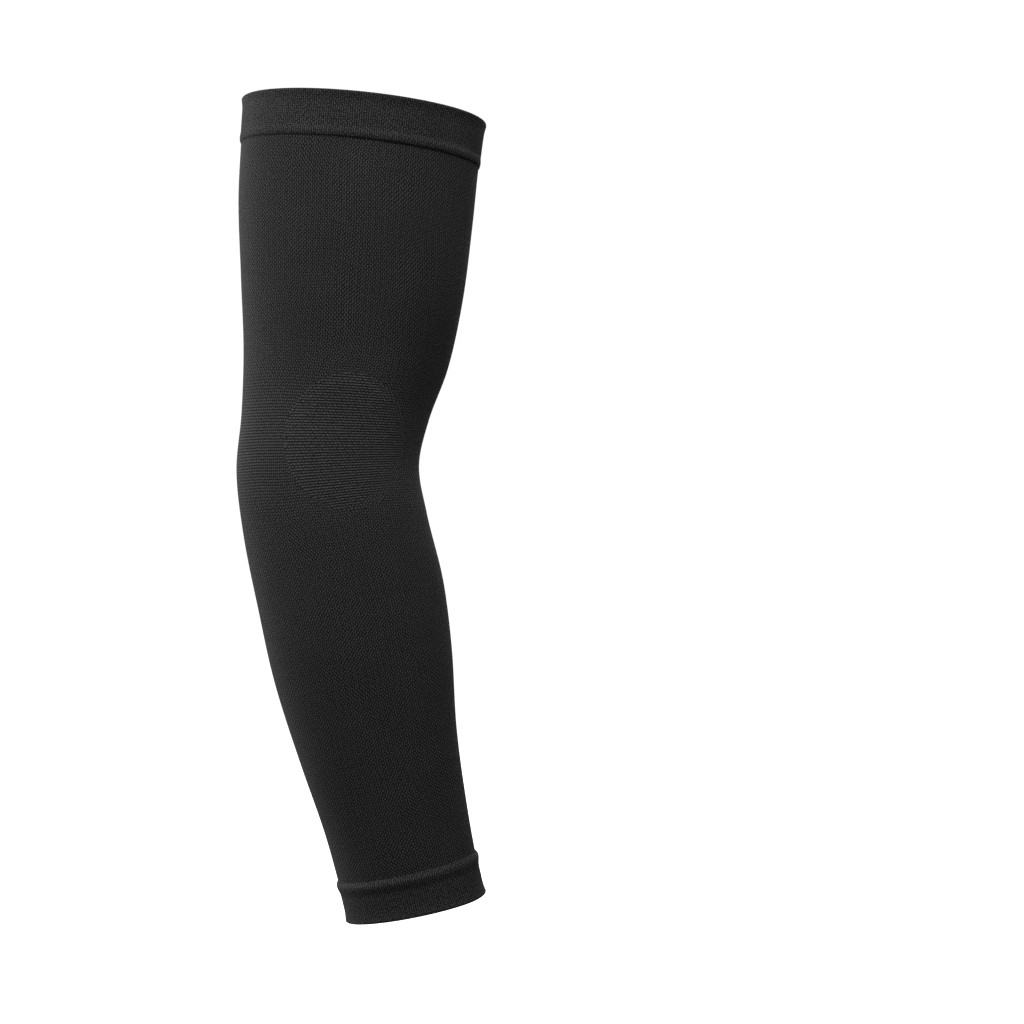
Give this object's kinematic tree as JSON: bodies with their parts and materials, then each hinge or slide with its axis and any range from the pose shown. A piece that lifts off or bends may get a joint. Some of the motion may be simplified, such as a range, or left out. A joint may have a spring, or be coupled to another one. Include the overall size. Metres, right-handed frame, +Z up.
{
  "type": "arm compression sleeve",
  "caption": "Knitted arm sleeve: a tapered tube bent a little at the elbow, with a turned band at each end and an oval rib-knit panel at the elbow.",
  "frame": {"origin": "middle of the upper opening, where the arm goes in", "axes": "+Z up the arm, +X towards the inside of the elbow's bend, the oval panel on the -Y side"},
  "size_m": [0.1118, 0.0996, 0.3696],
  "materials": {
    "knit_body": "matt near-black knit with fine light loop heads",
    "knit_band": "matt near-black double knit, finer than the body",
    "knit_panel": "matt near-black knit in horizontal ribs"
  },
  "bodies": {
    "root": {"upper_band": "knit_band", "sleeve_tube": "knit_body", "elbow_panel": "knit_panel", "wrist_band": "knit_band"}
  },
  "joints": []
}
